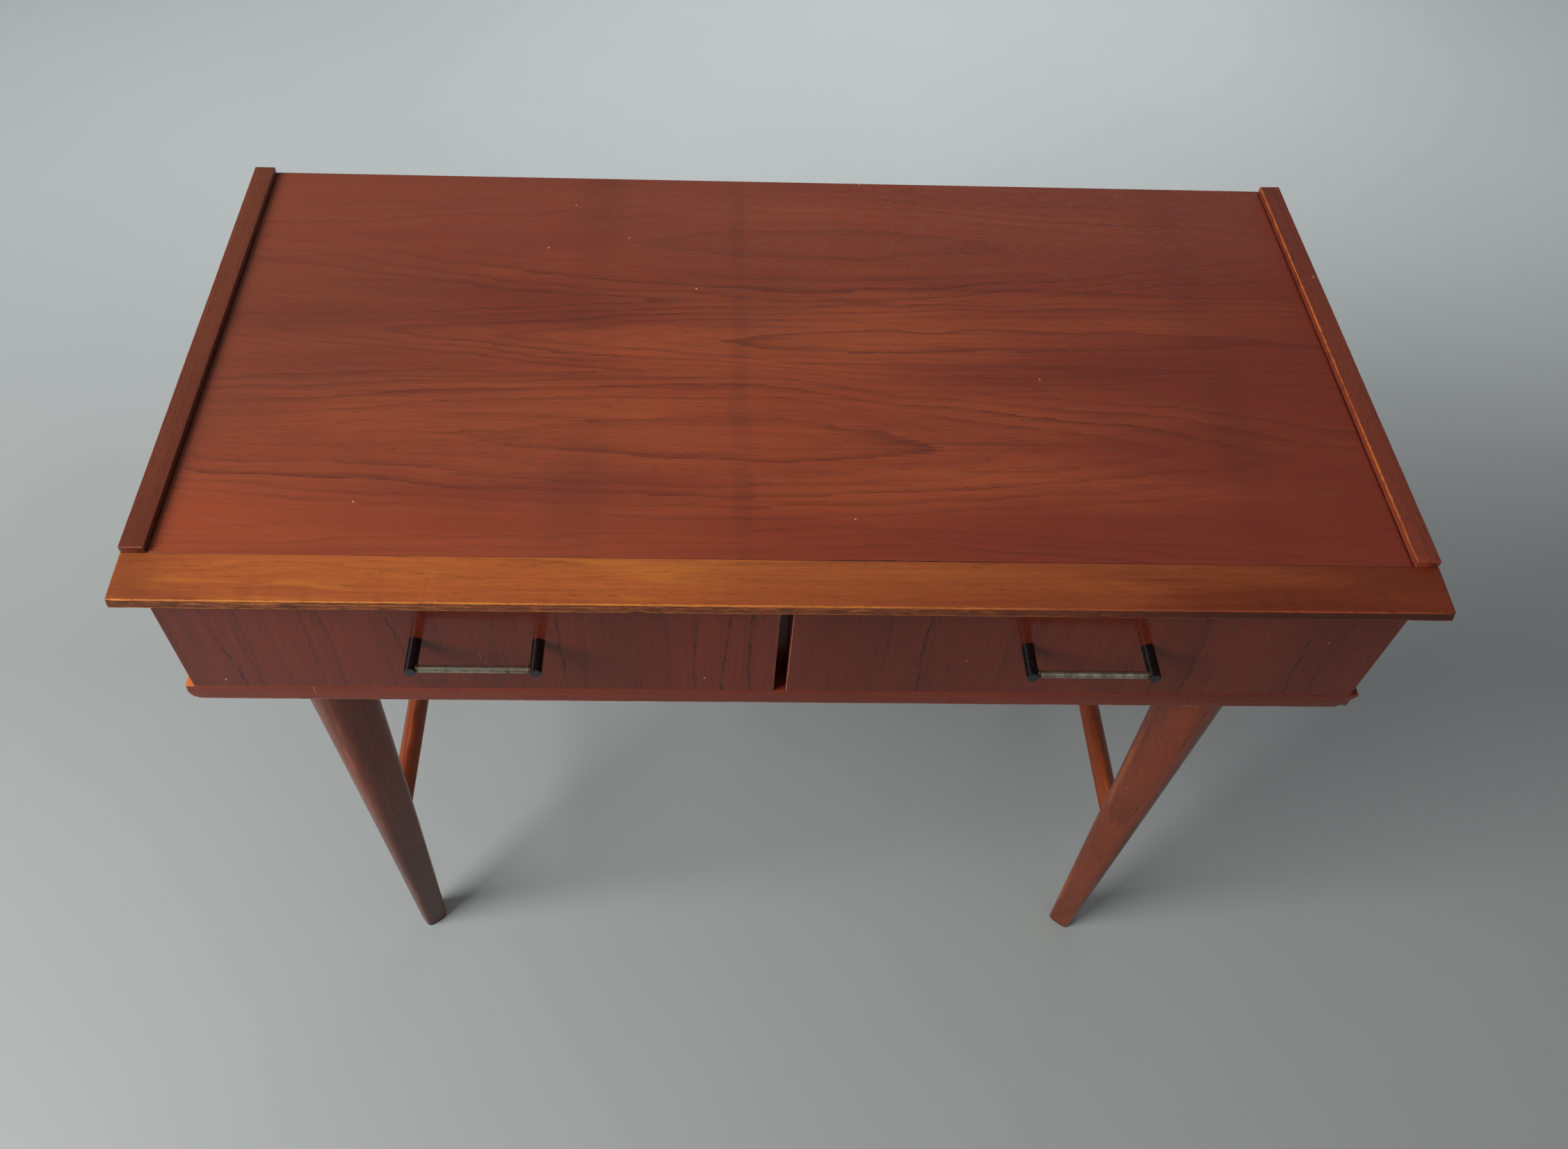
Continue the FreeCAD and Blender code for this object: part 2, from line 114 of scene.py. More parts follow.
class Tree:
    """Short way to write a material's nodes."""

    def __init__(self, name):
        self.mat = bpy.data.materials.new(name)
        self.mat.use_nodes = True
        self.tree = self.mat.node_tree
        self.tree.nodes.clear()
        self.point = self.add("ShaderNodeTexCoord").outputs["Object"]
        split = self.add("ShaderNodeSeparateXYZ")
        self.put(split.inputs[0], self.point)
        self.xyz = [Num(self, out) for out in split.outputs]

    def add(self, kind, **props):
        node = self.tree.nodes.new(kind)
        for key, value in props.items():
            setattr(node, key, value)
        return node

    def put(self, socket, value):
        if isinstance(value, Num):
            value = value.socket
        if isinstance(value, bpy.types.NodeSocket):
            self.tree.links.new(value, socket)
        else:
            socket.default_value = value

    def mix(self, share, a, b, how="MIX"):
        node = self.add("ShaderNodeMix", data_type="RGBA", blend_type=how, clamp_factor=True)
        for index, item in ((0, share), (6, a), (7, b)):
            self.put(node.inputs[index], item)
        return node.outputs[2]

    def scaled(self, scale, seed=0.0, vector=None):
        """The object point times scale, moved by an amount that depends on seed."""
        node = self.add("ShaderNodeVectorMath", operation="MULTIPLY_ADD")
        self.put(node.inputs[0], vector or self.point)
        self.put(node.inputs[1], scale)
        self.put(node.inputs[2], (seed * 7.31, seed * 3.17, seed * 5.71))
        return node.outputs[0]

    def noise(self, vector, detail=2.0, rough=0.5, distort=0.0):
        node = self.add("ShaderNodeTexNoise")
        self.put(node.inputs["Vector"], vector)
        node.inputs["Scale"].default_value = 1.0
        node.inputs["Detail"].default_value = detail
        node.inputs["Roughness"].default_value = rough
        node.inputs["Distortion"].default_value = distort
        return Num(self, node.outputs[0])

    def cloud(self, size, seed=0.0, detail=3.0, rough=0.6):
        """Blotches of about the given size in metres."""
        return self.noise(self.scaled((1 / size,) * 3, seed), detail, rough)

    def chance(self, value, seed):
        """A random number between 0 and 1 that is the same wherever value is the same."""
        node = self.add("ShaderNodeTexWhiteNoise", noise_dimensions="1D")
        self.put(node.inputs["W"], value + seed)
        return Num(self, node.outputs["Value"])

    def spots(self, scale, size, share, seed=0.0, turn=None):
        """Scattered flecks, long where scale is small: share of the cells hold one."""
        vector = self.point
        if turn is not None:
            spin = self.add("ShaderNodeVectorRotate", rotation_type="Z_AXIS")
            self.put(spin.inputs["Vector"], vector)
            spin.inputs["Angle"].default_value = turn
            vector = spin.outputs[0]
        cell = self.add("ShaderNodeTexVoronoi")
        self.put(cell.inputs["Vector"], self.scaled(scale, seed, vector))
        cell.inputs["Scale"].default_value = 1.0
        split = self.add("ShaderNodeSeparateColor")
        self.put(split.inputs[0], cell.outputs["Color"])
        pick = Num(self, split.outputs[0]).step(1.0 - share, 1.001 - share)
        return Num(self, cell.outputs["Distance"]).step(size, size * 0.5) * pick

    def line(self, a, at_a, b, at_b, reach):
        """1 on the straight edge where coordinate a is at_a and b is at_b, 0 beyond reach."""
        away = ((self.xyz[a] - at_a) ** 2.0 + (self.xyz[b] - at_b) ** 2.0) ** 0.5
        return away.step(reach, 0.0)

    def finish(self, color, rough, height, bump, distance=0.0002, metal=0.0, specular=0.5):
        """Join colour, roughness and a relief of the given strength and depth to the shader."""
        shader = self.add("ShaderNodeBsdfPrincipled")
        self.put(shader.inputs["Base Color"], color)
        self.put(shader.inputs["Roughness"], rough)
        shader.inputs["Metallic"].default_value = metal
        shader.inputs["Specular IOR Level"].default_value = specular
        relief = self.add("ShaderNodeBump")
        relief.inputs["Strength"].default_value = bump
        relief.inputs["Distance"].default_value = distance
        self.put(relief.inputs["Height"], height)
        self.put(shader.inputs["Normal"], relief.outputs[0])
        out = self.add("ShaderNodeOutputMaterial")
        self.put(out.inputs[0], shader.outputs[0])
        return self.mat


def srgb(r, g, b):
    """Colour from 0-255 screen values to linear."""
    out = []
    for value in (r, g, b):
        v = value / 255.0
        out.append(v / 12.92 if v <= 0.04045 else ((v + 0.055) / 1.055) ** 2.4)
    return (*out, 1.0)


def dress(material, *names):
    """Give CAD nodes a finish."""
    for name in names:
        for slot in NODES[name].material_slots:
            slot.material = material


# ------------------------------------------------------------------ wood
X, Y, Z = 0, 1, 2


class Look:
    """The colour, roughness and height of a surface while marks are laid on it."""

    PLAIN_ROUGH = 0.3

    def __init__(self, tree, color, rough, height):
        self.tree, self.color, self.rough, self.height = tree, color, rough, height

    def paint(self, mask, color, rough=None):
        """Lay a colour on where mask is 1, and make it duller or glossier there."""
        self.color = self.tree.mix(mask, self.color, color)
        if rough is not None:
            self.rough = self.rough + mask * (rough - self.PLAIN_ROUGH)


def grained(grain, along, across):
    """A scale that is along on the grain's axis and across on the other two."""
    return tuple(along if axis == grain else across for axis in (X, Y, Z))


def straight(grain, pitch, seed, sway=5.6):
    """Growth lines that run nearly straight, pitch apart and swaying by up to sway lines. They are
    cut at a slant through the other two axes."""
    one, two = (axis for axis in (X, Y, Z) if axis != grain)

    def field(t):
        wave = t.noise(t.scaled(grained(grain, 2.0, 9.0), seed), 3.0, 0.5)
        return (t.xyz[one] * 0.6 + t.xyz[two] * 0.8) / pitch + wave * sway

    return field


# how far the ovals of a figure wander, in metres: sideways slowly, sideways quickly and lengthwise
WANDER_SLOW, WANDER_QUICK, WANDER_ALONG = 0.055, 0.009, 0.10
# how rounded an oval is at the middle of its sides and at its ends, and how blunt its ends are
SIDE_ROUND, END_ROUND, END_POWER = 0.03, 0.004, 0.68
# how softly two ovals join, and what part of a line lies inside the first
JOINING = 0.35
FIRST_LINE = 0.36


def crowned(hearts, rings, seed):
    """Plain-sawn figure: nested pointed ovals round each heart that join into long lines further out.
    A heart is its x and y, its reach to the left, to the right and to the side."""

    def field(t):
        slow = t.noise(t.scaled((2.4, 7.0, 1.0), seed), 3.0, 0.55) - 0.5
        quick = t.noise(t.scaled((13.0, 55.0, 1.0), seed + 1), 3.0, 0.6) - 0.5
        across = t.xyz[Y] + slow * WANDER_SLOW + quick * WANDER_QUICK
        swell = t.noise(t.scaled((1.6, 4.0, 1.0), seed + 2), 2.0, 0.5) - 0.5
        along = t.xyz[X] + swell * WANDER_ALONG
        total = None
        for x, y, left, right, side in hearts:
            du = (along - x).op("MAXIMUM", 0.0) / right + (along - x).op("MINIMUM", 0.0) / left
            dv = (across - y) / side
            far = (du ** 2.0 + SIDE_ROUND) ** 0.5 + (dv ** 2.0 + END_ROUND) ** END_POWER
            total = far if total is None else total.op("SMOOTH_MIN", far, JOINING)
        return total * rings + FIRST_LINE

    return field


# how often each kind of figure changes per metre, along the grain and across it
FRAY = (8.0, 480.0)
PATCH = (3.0, 20.0)
DRIFT = (1.7, 13.0)
FIBRE = (9.0, 430.0)
STREAK = (2.2, 60.0)
PORE = (95.0, 1500.0)
FINE_PER_RING = 3.0
PORE_DEPTH = 0.00012


def wood(name, grain, light, mid, dark, field, seed, rings, fine=0.25, fray=0.3, fibres=0.3,
         streaks=0.3, pores=0.55, rough=0.3, marks=None, specular=0.3, drift=DRIFT, tint=None):
    """Lacquered wood. Each of rings, fine, fibres, streaks and pores says how dark that figure is."""
    t = Tree(name)

    def figure(scale, shift, detail, soft, distort=0.0):
        return t.noise(t.scaled(grained(grain, *scale), seed + shift), detail, soft, distort)

    # a growth line darkens slowly and ends sharply, and some lines are much stronger than others
    count = field(t) + (figure(FRAY, 0, 2.0, 0.6) - 0.5) * fray
    saw = count.op("FRACT")
    strong = t.chance(count.op("FLOOR"), seed + 0.5).step(0.35, 0.95, 0.12, 1.0)
    ring = saw.step(0.50, 0.95) * saw.step(1.0, 0.965) * strong
    patch = figure(PATCH, 3, 2.0, 0.5).step(0.3, 0.6, 0.35, 1.0)
    inner = (count * FINE_PER_RING).op("FRACT")
    faint = inner.step(0.25, 0.9) * inner.step(1.0, 0.93)
    tone = figure(drift, 4, 3.0, 0.55)
    if tint:
        tone = tone + tint(t)
    fibre = figure(FIBRE, 5, 3.0, 0.7)
    streak = figure(STREAK, 6, 2.0, 0.5, 0.15).step(0.60, 0.76)
    pore = figure(PORE, 7, 1.0, 0.5).step(0.60, 0.70)
    # every pore is a dent, but pores are darkest near the growth lines
    height = fibre * 0.35 - pore
    pore = pore * saw.step(0.1, 0.8, 0.3, 1.0)
    color = t.mix(tone.step(0.30, 0.70), light, mid)
    color = t.mix(faint * patch * fine, color, dark)
    color = t.mix(ring * patch * rings, color, dark)
    color = t.mix(streak * streaks, color, dark)
    color = t.mix(fibre.step(0.35, 0.8) * fibres, color, dark)
    color = t.mix(pore * pores, color, tuple(c * 0.4 for c in dark[:3]) + (1.0,))
    gloss = t.cloud(0.12, seed + 8).step(0.3, 0.7, rough - 0.04, rough + 0.06)
    look = Look(t, color, gloss + pore * 0.15, height)
    if marks:
        marks(t, look)
    return t.finish(look.color, look.rough, look.height, 0.4, PORE_DEPTH, specular=specular)


# ------------------------------------------------------------------ marks of age
PALE_CHIP = srgb(214, 186, 158)
GRIME = srgb(26, 14, 11)


def flecks(t, look, share=0.010):
    """Tiny pale dents and dark specks."""
    look.paint(t.spots((95, 95, 95), 0.10, share, 3.0), PALE_CHIP)
    look.paint(t.spots((60, 60, 60), 0.09, share, 9.0) * 0.7, GRIME)


def scratches(t, look, share, strength):
    """Short thin scuffs in two directions."""
    for seed, turn in ((1.0, 0.5), (2.0, -0.9)):
        scuff = t.spots((11, 160, 11), 0.10, share, seed, turn)
        look.paint(scuff * strength, srgb(190, 128, 100), rough=0.5)


def worn_line(t, look, a, at_a, b, at_b, along, reach, seed, color, amount, grit=90.0):
    """Lacquer rubbed off a straight edge, raggedly along its length: the more grit, the finer."""
    uneven = t.noise(t.scaled(grained(along, grit, 900.0), seed), 4.0, 0.75)
    coming = t.noise(t.scaled(grained(along, 6.0, 6.0), seed + 1), 2.0, 0.6).step(0.25, 0.6, 0.35, 1.0)
    edge = t.line(a, at_a, b, at_b, uneven.step(0.25, 0.75, reach * 0.35, reach * 1.5))
    look.paint(edge.step(0.05, 0.5) * coming * amount, color, rough=0.55)


def box_of(name):
    """Lowest and highest corner of a CAD node."""
    low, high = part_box(name)
    return Vector(low), Vector(high)


TOP_LOW, TOP_HIGH = box_of("top_panel")
LIP_LOW, LIP_HIGH = box_of("top_front_lip")
BOARD_LOW, BOARD_HIGH = box_of("case_bottom_board")
FRONT_LOW, FRONT_HIGH = box_of("drawer_left_front")
LEG_LOW, LEG_HIGH = box_of("leg_front_right")
LEG_X, FRONT_LEG_Y = (LEG_LOW.x + LEG_HIGH.x) / 2, (LEG_LOW.y + LEG_HIGH.y) / 2
REAR_LEG_Y = sum(corner.y for corner in box_of("leg_rear_right")) / 2
# half width of a leg, and where its corners begin in half widths from its axis
LEG_HEAD_HALF, LEG_FOOT_HALF = 0.0300, 0.0131
HEAD_CORNER, FOOT_CORNER = 1.07, 1.17
# height of the lip's front face, and radius of every rubbed arris
LIP_FACE = 0.010
ARRIS = 0.0008


def joint_line(t, at):
    """Dirt in the joint between panel and lip, blackest right of the middle."""
    x, y = t.xyz[X], t.xyz[Y]
    black = (x - 0.09).op("ABSOLUTE").step(0.14, 0.03, 0.35, 1.0)
    broken = t.cloud(0.02, 6.0).step(0.25, 0.6, 0.4, 1.0)
    return (y - at).op("ABSOLUTE").step(0.0006, 0.0002) * black * broken


# soft dark bands across the grain of the top, painted reflections of window frames in the lacquer: where,
# how wide and how dark
REFLECTION_BANDS = ((-0.165, 0.035, 0.20), (-0.035, 0.012, 0.20), (0.375, 0.030, 0.14))


def top_marks(t, look):
    """Dull brown film at the back left, painted shade to the right, painted sheen at the back, a paler
    front, painted reflections in soft bands and dirty joints.
    """
    x, y = t.xyz[X], t.xyz[Y]
    film = t.cloud(0.22, 4.0) * 0.8 + y * 0.5 - x * 0.75
    look.paint(film.step(0.30, 0.85) * 0.62, srgb(114, 63, 50))
    # painted shade: the right of the top darker and redder, away from the light on the left
    look.paint(x.step(0.05, 0.45) * 0.4, srgb(136, 56, 39))
    # painted sheen: the back of the top paler and redder, standing in for the lacquer mirroring the bright
    # room behind
    look.paint(y.step(0.09, 0.19) * 0.35, srgb(158, 78, 56))
    front_veil = t.mix(x.step(-0.3, 0.3), srgb(160, 74, 46), srgb(134, 55, 38))
    look.paint(y.step(-0.12, -0.17) * 0.45, front_veil)
    # painted reflection: soft dark bands of window frames mirrored in the lacquer
    for at, width, strength in REFLECTION_BANDS:
        sway = (t.cloud(0.09, at, 2.0) - 0.5) * 0.02
        band = ((x - at) + sway).op("ABSOLUTE").step(width, width * 0.2)
        look.paint(band * (t.cloud(0.2, at + 5).step(0.3, 0.7)) * strength, srgb(70, 42, 34))
    look.paint(joint_line(t, TOP_LOW.y), GRIME, rough=0.6)
    strip_foot = TOP_HIGH.x - 0.0002
    for side in (-1.0, 1.0):
        corner = (x * side - strip_foot).op("ABSOLUTE").step(0.0025, 0.0)
        look.paint(corner * t.cloud(0.03, side).step(0.2, 0.6, 0.5, 1.0) * 0.85, GRIME, rough=0.6)
    flecks(t, look)
    scratches(t, look, 0.02, 0.25)


def top_tone_and_shade(t):
    """More orange at the front left, and redder and darker to the right as painted shade away from the
    light on the left; random blotches of tone on top.
    """
    blotch = t.noise(t.scaled((3.2, 9.0, 1.0), 14.0), 3.0, 0.6) - 0.5
    # the x term is painted shade toward the right; the blotch is the wood's own tone
    return t.xyz[X] * 0.26 + t.xyz[Y] * 0.12 + 0.01 + blotch * 0.45


def lip_marks(t, look):
    """Golden at the left and red at the right, with rubbed edges, a front face darker in ragged patches
    and wholly at the right, and dark dashes.
    """
    x, y, z = t.xyz
    blotch = t.noise(t.scaled((5.0, 26.0, 26.0), 2.0), 3.0, 0.6)
    red = (x + (blotch - 0.5) * 0.6).step(-0.16, 0.44)
    redder = t.mix(red, (1.0, 1.0, 1.0, 1.0), (0.50, 0.36, 0.40, 1.0))
    look.color = t.mix(red, look.color, redder, "MULTIPLY")
    bright = t.noise(t.scaled((7.0, 50.0, 50.0), 8.0), 3.0, 0.6).step(0.5, 0.72)
    look.paint(bright * (x.step(0.15, -0.25)) * 0.5, srgb(214, 134, 48))
    look.paint((x + (blotch - 0.5) * 0.10).step(-0.41, -0.49) * 0.6, srgb(120, 60, 34))
    dashes = t.noise(t.scaled((60.0, 900.0, 900.0), 12.0), 2.0, 0.6).step(0.63, 0.72)
    look.paint(dashes * 0.45, srgb(84, 40, 22))
    rubbed = t.mix(x.step(0.0, 0.3), srgb(226, 140, 52), srgb(170, 78, 46))
    # the front edge is rubbed at its top arris, along the middle of its face and at its bottom arris
    worn_line(t, look, Y, LIP_LOW.y, Z, LIP_HIGH.z, X, 0.0019, 1.0, rubbed, 0.75, 260.0)
    worn_line(t, look, Y, LIP_LOW.y, Z, LIP_HIGH.z - 0.0042, X, 0.0009, 6.0, rubbed, 0.6, 160.0)
    # the front face darker in ragged patches, and wholly toward the right
    face = y.step(LIP_LOW.y + 0.0012, LIP_LOW.y + 0.0006)
    face = face * z.step(LIP_HIGH.z - 0.0012, LIP_HIGH.z - 0.0022)
    ragged_dark = t.noise(t.scaled((60.0, 900.0, 900.0), 5.0), 4.0, 0.75).step(0.36, 0.58)
    look.paint(face * ragged_dark.op("MAXIMUM", x.step(0.05, 0.35)) * 0.85, srgb(62, 28, 17), rough=0.6)
    worn_line(t, look, Y, LIP_LOW.y, Z, LIP_HIGH.z - LIP_FACE, X, 0.0014, 7.0, rubbed, 0.6, 160.0)
    for end in (LIP_LOW.x, LIP_HIGH.x):
        worn_line(t, look, X, end, Z, LIP_HIGH.z, Y, 0.0010, 4.0, rubbed, 0.5)
    look.paint(joint_line(t, LIP_HIGH.y), GRIME, rough=0.6)
    look.paint(t.spots((34, 60, 60), 0.10, 0.10, 2.0) * 0.75, GRIME)
    look.paint(t.spots((90, 120, 120), 0.16, 0.010, 5.0), PALE_CHIP, rough=0.6)
    scratches(t, look, 0.02, 0.2)


def strip_marks(t, look):
    """The left strip is browner as a painted sheen of the window's reflection; both are rubbed at their
    top arrises, the right one most.
    """
    # painted sheen: the left strip browner and duller, as where its lacquer mirrors the window
    left = t.xyz[X].step(0.1, -0.1)
    look.color = t.mix(left, look.color, (0.74, 0.96, 0.92, 1.0), "MULTIPLY")
    low, high = box_of("top_edge_strip_right")
    worn_line(t, look, X, low.x, Z, high.z, Y, 0.0021, 2.0, srgb(206, 112, 48), 0.9, 200.0)
    worn_line(t, look, X, high.x, Z, high.z, Y, 0.0012, 3.0, srgb(170, 92, 52), 0.6)
    worn_line(t, look, Y, low.y, Z, high.z, X, 0.0009, 5.0, srgb(180, 104, 68), 0.5)
    low, high = box_of("top_edge_strip_left")
    worn_line(t, look, X, high.x, Z, high.z, Y, 0.0010, 6.0, srgb(150, 86, 56), 0.4)
    worn_line(t, look, X, low.x, Z, high.z, Y, 0.0010, 8.0, srgb(160, 92, 58), 0.5)
    worn_line(t, look, Y, low.y, Z, high.z, X, 0.0009, 9.0, srgb(160, 98, 70), 0.4)
    flecks(t, look, 0.006)


# dark streaks down the drawer fronts: x at mid-height, width, slant and how dark
STREAKS = ((-0.441, 0.0022, 0.10, 0.8), (-0.425, 0.0010, 0.06, 0.5), (-0.372, 0.0010, 0.0, 0.4),
           (-0.302, 0.0014, 0.14, 0.8), (-0.176, 0.0018, 0.03, 0.7), (-0.069, 0.0014, -0.02, 0.6),
           (-0.045, 0.0022, -0.05, 0.7), (-0.026, 0.0018, 0.02, 0.7), (0.112, 0.0018, 0.02, 0.8),
           (0.178, 0.0010, 0.0, 0.4), (0.333, 0.0014, 0.04, 0.5), (0.417, 0.0014, 0.12, 0.7),
           (0.437, 0.0012, 0.10, 0.6))


def front_marks(t, look):
    """Ragged dark streaks, and edges rubbed pale."""
    x, z = t.xyz[X], t.xyz[Z]
    middle = (FRONT_LOW.z + FRONT_HIGH.z) / 2
    inner, outer = -FRONT_HIGH.x, -FRONT_LOW.x
    sway = (t.noise(t.scaled((4.0, 4.0, 20.0), 3.0), 3.0, 0.6) - 0.5) * 0.012
    jag = (t.noise(t.scaled((90.0, 90.0, 170.0), 4.0), 2.0, 0.7) - 0.5) * 0.0045
    swaying, rise, marked = x + sway + jag, z - middle, None
    for at, width, slant, strength in STREAKS:
        away = (rise.op("MULTIPLY_ADD", slant, swaying) - at).op("ABSOLUTE")
        streak = away.step(width, width * 0.15, 0.0, strength)
        marked = streak if marked is None else marked.op("MAXIMUM", streak)
    broken = t.noise(t.scaled((420.0, 420.0, 55.0), 5.0), 2.0, 0.7).step(0.40, 0.55, 0.10, 1.0)
    look.paint(marked * broken, srgb(42, 17, 11))
    face_y = FRONT_LOW.y
    for side in (-1.0, 1.0):
        worn_line(t, look, X, side * inner, Y, face_y, Z, 0.0012, 4.0 + side, srgb(168, 104, 84), 0.7)
        worn_line(t, look, X, side * outer, Y, face_y, Z, 0.0010, 6.0 + side, srgb(130, 66, 44), 0.6)
    worn_line(t, look, Z, FRONT_LOW.z, Y, face_y, X, 0.0010, 7.0, srgb(140, 70, 48), 0.5)
    flecks(t, look, 0.014)
    scratches(t, look, 0.012, 0.3)


def board_marks(t, look):
    """Rubbed edges, and painted light on the top of the left end that sticks out beyond the drawer front.
    """
    x, z = t.xyz[X], t.xyz[Z]
    worn_line(t, look, Y, BOARD_LOW.y, Z, BOARD_HIGH.z, X, 0.0010, 2.0, srgb(150, 76, 52), 0.15)
    worn_line(t, look, Y, BOARD_LOW.y, Z, BOARD_LOW.z, X, 0.0016, 3.0, srgb(196, 130, 92), 0.8)
    for end in (BOARD_LOW.x, BOARD_HIGH.x):
        worn_line(t, look, X, end, Z, BOARD_HIGH.z, Y, 0.0012, 4.0, srgb(180, 100, 60), 0.6)
        worn_line(t, look, X, end, Y, BOARD_LOW.y, Z, 0.0014, 5.0, srgb(206, 150, 104), 0.7)
    # painted light: orange on the top of the left end, lit from the left while the right end lies in shade
    corner = x.step(FRONT_LOW.x + 0.0005, FRONT_LOW.x - 0.0005)
    corner = corner * z.step(BOARD_HIGH.z - 0.0010, BOARD_HIGH.z - 0.0004)
    look.paint(corner * t.cloud(0.008, 5.0).step(0.25, 0.45, 0.5, 1.0), srgb(196, 108, 48), rough=0.5)
    flecks(t, look, 0.02)
    scratches(t, look, 0.02, 0.35)


def leg_marks(t, look):
    """Painted shade low on the left legs, rubbed ridges where the squarish section is widest, and scuffed
    feet.
    """
    x, y, z = t.xyz
    share = z / LEG_HIGH.z
    # painted shade: the left legs darker toward the floor
    look.paint(z.step(0.40, 0.10) * x.step(0.1, -0.1) * 0.75, srgb(72, 40, 33))
    cx = x.op("ABSOLUTE") - LEG_X
    cy = y - y.step(0.010, 0.012, FRONT_LEG_Y, REAR_LEG_Y)
    half = share * (LEG_HEAD_HALF - LEG_FOOT_HALF) + LEG_FOOT_HALF
    ratio = (cx ** 2.0 + cy ** 2.0) ** 0.5 / half
    corner = share * (HEAD_CORNER - FOOT_CORNER) + FOOT_CORNER
    ridge = ratio.step(corner, corner + 0.06)
    uneven = t.noise(t.scaled((60.0, 60.0, 7.0), 2.0), 4.0, 0.7).step(0.48, 0.62)
    look.paint(ridge * uneven * 0.55, srgb(176, 96, 56), rough=0.5)
    foot = z.step(0.012, 0.002)
    chip = t.cloud(0.012, 6.0).step(0.50, 0.60)
    look.paint(foot * chip * ridge, srgb(206, 170, 136), rough=0.7)
    look.paint(z.step(0.006, 0.0) * 0.6, srgb(44, 28, 22), rough=0.6)
    flecks(t, look, 0.012)
    scratches(t, look, 0.02, 0.3)


def bar_marks(t, look):
    """Orange wear in lengthwise patches."""
    flecks(t, look, 0.012)
    rub = t.noise(t.scaled((80.0, 9.0, 80.0), 2.0), 4.0, 0.7).step(0.52, 0.70)
    look.paint(rub * 0.45, srgb(186, 106, 56), rough=0.5)


# ------------------------------------------------------------------ worn pieces
def wear_at(*place):
    """Uneven wear between 0 and 1."""
    slow = noise.noise(Vector(place) * 14.0) * 0.5 + 0.5
    quick = noise.noise(Vector(place) * 95.0 + Vector((7.0, 3.0, 1.0)))
    nick = max(0.0, noise.noise(Vector(place) * 210.0 + Vector((2.0, 9.0, 4.0))) - 0.25) * 2.0
    return min(1.0, max(0.0, 0.15 + 0.45 * slow + 0.30 * quick + 0.7 * nick * slow))


STRAIGHT_DEGREES = 175.0


def rounded(points, radius, steps=4):
    """Corners of a closed outline turned into arcs. A point is a, b and how far wear may go there."""
    out = []
    for index, (a, b, depth) in enumerate(points):
        here = Vector((a, b))
        before = (Vector(points[index - 1][:2]) - here).normalized()
        after = (Vector(points[(index + 1) % len(points)][:2]) - here).normalized()
        angle = before.angle(after)
        if math.degrees(angle) > STRAIGHT_DEGREES:
            out.append((a, b, depth))
            continue
        reach = radius / math.tan(angle / 2)
        first, last = here + before * reach, here + after * reach
        middle = here + (before + after).normalized() * (radius / math.sin(angle / 2))
        for step in range(steps + 1):
            way = first.lerp(last, step / steps) - middle
            spot = middle + way.normalized() * radius
            out.append((spot.x, spot.y, depth))
    return out


def as_object(bm, name, material, sharp_degrees):
    """A smooth-faced object from a bmesh, left sharp where faces meet at a greater angle."""
    bmesh.ops.recalc_face_normals(bm, faces=bm.faces)
    for face in bm.faces:
        face.smooth = True
    mesh = bpy.data.meshes.new(name)
    bm.to_mesh(mesh)
    bm.free()
    mesh.set_sharp_from_angle(angle=math.radians(sharp_degrees))
    mesh.materials.append(material)
    piece = bpy.data.objects.new(name, mesh)
    bpy.context.scene.collection.objects.link(piece)
    return piece


def worn_bar(name, node, material, axis, outline, bites=(), pitch=0.0025, ease=0.0006):
    """A bar of one section along an axis, its arrises rubbed down unevenly and its ends eased.
    A bite is its centre, its radius and how far it pushes the surface in."""
    low, high = box_of(node)
    others = [other for other in (X, Y, Z) if other != axis]
    area_twice = sum(outline[i - 1][0] * outline[i][1] - outline[i][0] * outline[i - 1][1]
                     for i in range(len(outline)))
    winding = math.copysign(1.0, area_twice)
    inward = []
    for index in range(len(outline)):
        before = Vector(outline[index - 1][:2])
        after = Vector(outline[(index + 1) % len(outline)][:2])
        side = (after - before).normalized()
        inward.append(Vector((-side.y, side.x)) * winding)
    count = round((high[axis] - low[axis]) / pitch)
    # places along the bar, and how far the section is drawn in there to ease the ends
    stations = [(low[axis], ease), (low[axis] + ease * 0.3, ease * 0.35), (low[axis] + ease, 0.0)]
    for index in range(1, count):
        stations.append((low[axis] + (high[axis] - low[axis]) * index / count, 0.0))
    stations += [(high[axis] - ease, 0.0), (high[axis] - ease * 0.3, ease * 0.35), (high[axis], ease)]
    bm = bmesh.new()
    rings = []
    for station, inset in stations:
        ring = []
        for (a, b, depth), into in zip(outline, inward):
            spot = Vector((a, b)) + into * inset
            if depth:
                spot += into * depth * wear_at(station, a, b)
            place = Vector((0.0, 0.0, 0.0))
            place[axis], place[others[0]], place[others[1]] = station, spot.x, spot.y
            for centre, radius, push in bites:
                near = 1.0 - (place - Vector(centre)).length / radius
                if near > 0.0:
                    rough = 0.75 + 0.5 * noise.noise(place * 400.0)
                    place += Vector(push) * min(1.0, near * 1.6) * rough
            ring.append(bm.verts.new(place))
        rings.append(ring)
    for one, two in zip(rings, rings[1:]):
        for index in range(len(one)):
            bm.faces.new((one[index - 1], one[index], two[index], two[index - 1]))
    bm.faces.new(rings[0])
    bm.faces.new(list(reversed(rings[-1])))
    piece = as_object(bm, name, material, sharp_degrees=32)
    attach(piece, "frame")
    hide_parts(node)


